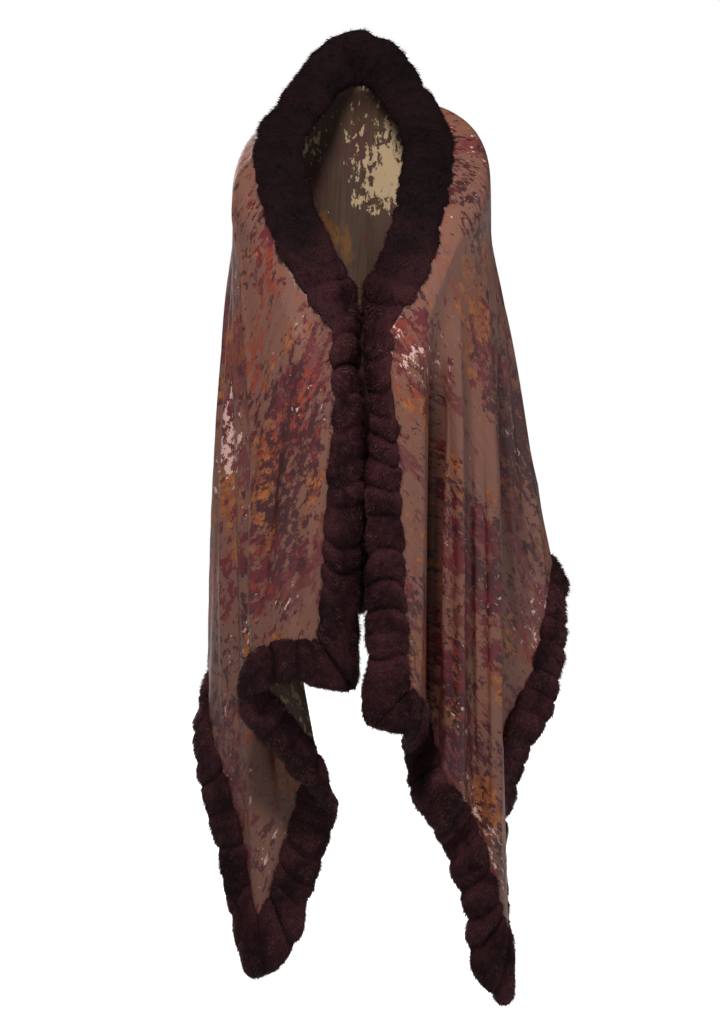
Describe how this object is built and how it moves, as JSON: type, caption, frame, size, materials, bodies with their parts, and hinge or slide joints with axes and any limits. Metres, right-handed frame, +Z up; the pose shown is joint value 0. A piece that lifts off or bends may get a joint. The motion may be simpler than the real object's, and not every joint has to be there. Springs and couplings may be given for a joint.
{
  "type": "worn evening stole",
  "caption": "Rectangular printed evening stole edged all round with sheared fur, worn over the shoulders with its ends hanging in points in front.",
  "frame": {"origin": "the nape of the neck, at the inner face of the cloth at the centre of the back neckline", "axes": "+Z up, -Y the way the wearer faces, +X the wearer's left"},
  "size_m": [0.5561, 0.3728, 1.4084],
  "materials": {
    "printed_cloth": "fine satin-faced cloth with a soft sheen and a mottled splash print in mauve, burgundy, ochre and pale pink",
    "fur": "short dense aubergine fur in joined pelts with a soft nap"
  },
  "bodies": {
    "root": {"cloth_right_front": "printed_cloth", "cloth_right_side": "printed_cloth", "cloth_back": "printed_cloth", "cloth_left_side": "printed_cloth", "cloth_left_front": "printed_cloth", "fur_neck_and_front": "fur", "fur_left_end": "fur", "fur_back_hem": "fur", "fur_right_end": "fur"}
  },
  "joints": []
}
